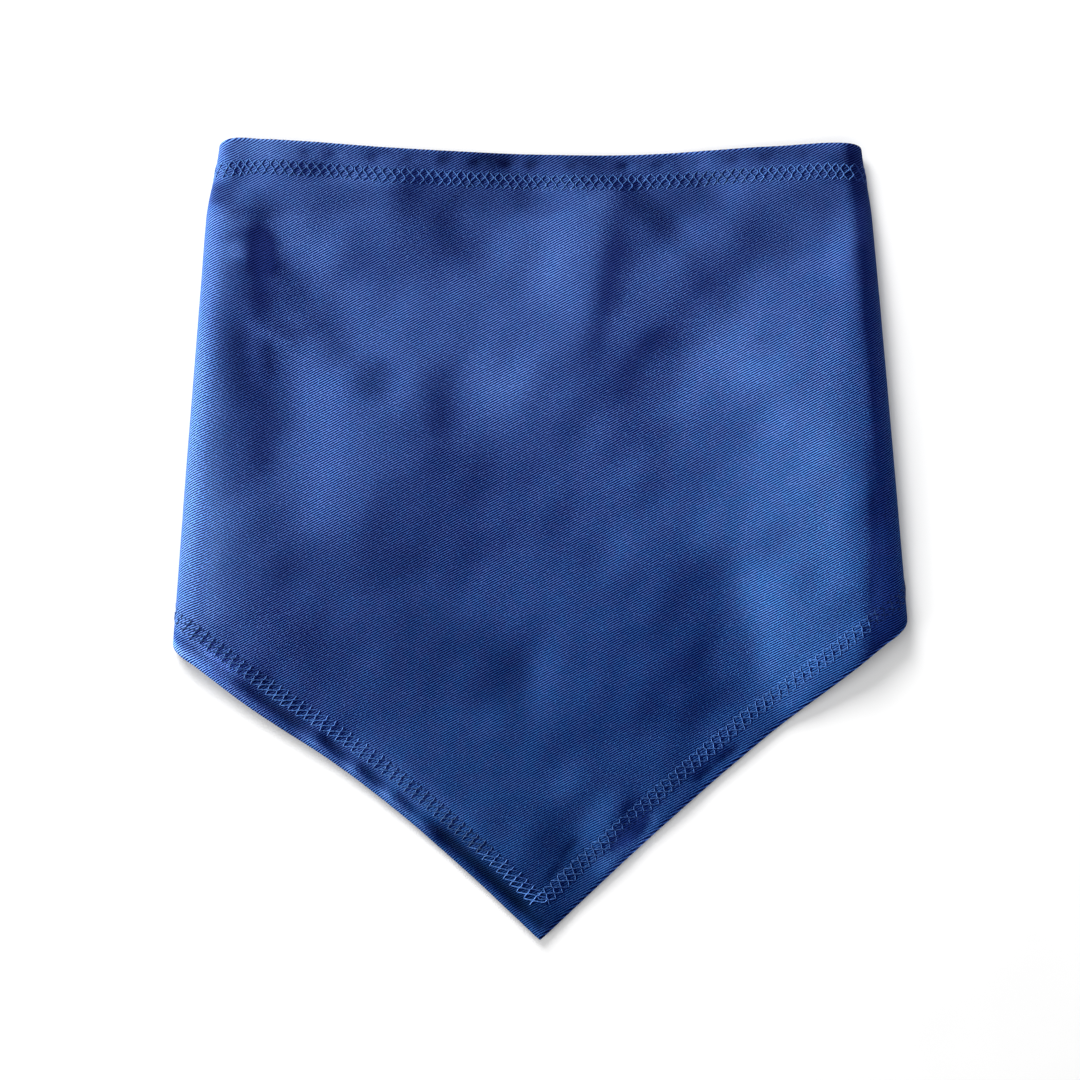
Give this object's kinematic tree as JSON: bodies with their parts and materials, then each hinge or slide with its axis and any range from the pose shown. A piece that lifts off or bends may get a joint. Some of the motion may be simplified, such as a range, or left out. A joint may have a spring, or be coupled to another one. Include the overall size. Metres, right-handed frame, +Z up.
{
  "type": "dog bandana",
  "caption": "Tie-on triangular dog bandana in blue twill, hemmed and stitched, laid flat with its tie ends folded behind.",
  "frame": {"origin": "middle of the bounding box, on the surface that the bandana lies on", "axes": "+X to the wearer's side that lies right when seen from above, +Y from the V's tip to the neck edge, +Z up from the surface, out of the cloth's face"},
  "size_m": [0.2324, 0.2536, 0.0137],
  "materials": {
    "twill_face": "soft blue twill with a raised diagonal line and a light nap",
    "twill_hem": "wrong side of the twill, slightly paler",
    "twill_ends": "soft blue twill, pressed flat"
  },
  "bodies": {
    "root": {"front": "twill_face", "hem_top": "twill_hem", "hem_lower_left": "twill_hem", "hem_lower_right": "twill_hem", "folded_ends": "twill_ends"}
  },
  "joints": []
}
